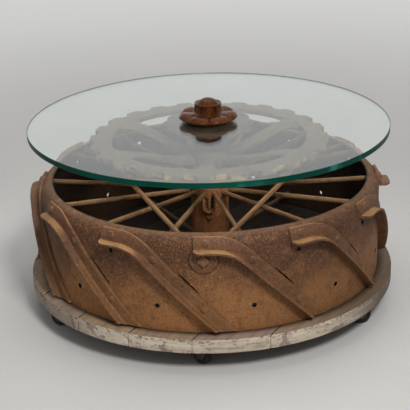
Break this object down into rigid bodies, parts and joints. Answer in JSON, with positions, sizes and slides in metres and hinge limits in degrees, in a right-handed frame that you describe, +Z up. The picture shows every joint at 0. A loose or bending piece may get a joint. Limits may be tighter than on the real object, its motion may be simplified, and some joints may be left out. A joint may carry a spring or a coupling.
{
  "type": "coffee table",
  "caption": "Low round coffee table: a lugged steel tractor wheel on a castored plank plinth, with an iron gear that carries a clear glass top under a lobed iron cap.",
  "frame": {"origin": "on the floor under the axis of the wheel", "axes": "+Z up along the axis of the wheel, -Y towards the viewer of the picture, +X to the right"},
  "size_m": [1.029, 1.029, 0.5802],
  "materials": {
    "plinth_wood": "old planks with worn whitewash on the edge, matte",
    "rim_rust": "brown rust with worn patches, matte",
    "grouser_rust": "brown and orange rust, edges worn pale, matte",
    "spoke_rust": "light ochre rust, matte",
    "hub_iron": "dark red-brown oiled iron, satin",
    "gear_iron": "grey-brown cast iron, satin",
    "cap_iron": "dark red-brown oiled iron with bright worn edges, satin",
    "clear_glass": "clear float glass with a deep green ground edge",
    "castor_steel": "dull zinc-plated steel",
    "castor_rubber": "dark matte rubber"
  },
  "bodies": {
    "table": {"plinth": "plinth_wood", "rim": "rim_rust", "hub": "hub_iron", "gear_wheel": "gear_iron", "glass_seat": "gear_iron", "glass_top": "clear_glass", "top_cap": "cap_iron", "tie_rod": "castor_steel", "rim_bolt": "rim_rust", "grouser_01": "grouser_rust", "grouser_02": "grouser_rust", "grouser_03": "grouser_rust", "grouser_04": "grouser_rust", "grouser_05": "grouser_rust", "grouser_06": "grouser_rust", "grouser_07": "grouser_rust", "grouser_08": "grouser_rust", "grouser_09": "grouser_rust", "grouser_10": "grouser_rust", "grouser_11": "grouser_rust", "grouser_12": "grouser_rust", "upper_spoke_01": "spoke_rust", "upper_spoke_02": "spoke_rust", "upper_spoke_03": "spoke_rust", "upper_spoke_04": "spoke_rust", "upper_spoke_05": "spoke_rust", "upper_spoke_06": "spoke_rust", "upper_spoke_07": "spoke_rust", "upper_spoke_08": "spoke_rust", "upper_spoke_09": "spoke_rust", "upper_spoke_10": "spoke_rust", "upper_spoke_11": "spoke_rust", "upper_spoke_12": "spoke_rust", "upper_spoke_13": "spoke_rust", "upper_spoke_14": "spoke_rust", "lower_spoke_1": "spoke_rust", "lower_spoke_2": "spoke_rust", "lower_spoke_3": "spoke_rust", "lower_spoke_4": "spoke_rust", "lower_spoke_5": "spoke_rust", "lower_spoke_6": "spoke_rust", "gear_brace_1": "spoke_rust", "gear_brace_2": "spoke_rust", "gear_brace_3": "spoke_rust", "gear_brace_4": "spoke_rust", "gear_brace_5": "spoke_rust", "gear_brace_6": "spoke_rust"},
    "castor_1_fork": {"castor_fork_1": "castor_steel"},
    "castor_1_wheel": {"castor_wheel_1": "castor_rubber"},
    "castor_2_fork": {"castor_fork_2": "castor_steel"},
    "castor_2_wheel": {"castor_wheel_2": "castor_rubber"},
    "castor_3_fork": {"castor_fork_3": "castor_steel"},
    "castor_3_wheel": {"castor_wheel_3": "castor_rubber"},
    "castor_4_fork": {"castor_fork_4": "castor_steel"},
    "castor_4_wheel": {"castor_wheel_4": "castor_rubber"},
    "castor_5_fork": {"castor_fork_5": "castor_steel"},
    "castor_5_wheel": {"castor_wheel_5": "castor_rubber"},
    "castor_6_fork": {"castor_fork_6": "castor_steel"},
    "castor_6_wheel": {"castor_wheel_6": "castor_rubber"}
  },
  "joints": [
    {"name": "castor_1_swivel", "type": "hinge", "parent": "table", "child": "castor_1_fork", "pos_m": [-0.01604, -0.45922, 0.0605], "axis": [0, 0, 1], "continuous": true},
    {"name": "castor_1_roll", "type": "hinge", "parent": "castor_1_fork", "child": "castor_1_wheel", "pos_m": [-0.02983, -0.44765, 0.025], "axis": [-0.6428, -0.766, 0], "continuous": true},
    {"name": "castor_2_swivel", "type": "hinge", "parent": "table", "child": "castor_2_fork", "pos_m": [0.38968, -0.2435, 0.0605], "axis": [0, 0, 1], "continuous": true},
    {"name": "castor_2_roll", "type": "hinge", "parent": "castor_2_fork", "child": "castor_2_wheel", "pos_m": [0.40659, -0.23734, 0.025], "axis": [-0.342, 0.9397, 0], "continuous": true},
    {"name": "castor_3_swivel", "type": "hinge", "parent": "table", "child": "castor_3_fork", "pos_m": [0.40571, 0.21572, 0.0605], "axis": [0, 0, 1], "continuous": true},
    {"name": "castor_3_roll", "type": "hinge", "parent": "castor_3_fork", "child": "castor_3_wheel", "pos_m": [0.41037, 0.23311, 0.025], "axis": [-0.9659, 0.2588, 0], "continuous": true},
    {"name": "castor_4_swivel", "type": "hinge", "parent": "table", "child": "castor_4_fork", "pos_m": [0.01604, 0.45922, 0.0605], "axis": [0, 0, 1], "continuous": true},
    {"name": "castor_4_roll", "type": "hinge", "parent": "castor_4_fork", "child": "castor_4_wheel", "pos_m": [0.02761, 0.44543, 0.025], "axis": [0.766, 0.6428, 0], "continuous": true},
    {"name": "castor_5_swivel", "type": "hinge", "parent": "table", "child": "castor_5_fork", "pos_m": [-0.38968, 0.2435, 0.0605], "axis": [0, 0, 1], "continuous": true},
    {"name": "castor_5_roll", "type": "hinge", "parent": "castor_5_fork", "child": "castor_5_wheel", "pos_m": [-0.40659, 0.23734, 0.025], "axis": [0.342, -0.9397, 0], "continuous": true},
    {"name": "castor_6_swivel", "type": "hinge", "parent": "table", "child": "castor_6_fork", "pos_m": [-0.40571, -0.21572, 0.0605], "axis": [0, 0, 1], "continuous": true},
    {"name": "castor_6_roll", "type": "hinge", "parent": "castor_6_fork", "child": "castor_6_wheel", "pos_m": [-0.42161, -0.20727, 0.025], "axis": [-0.4695, -0.8829, 0], "continuous": true}
  ]
}
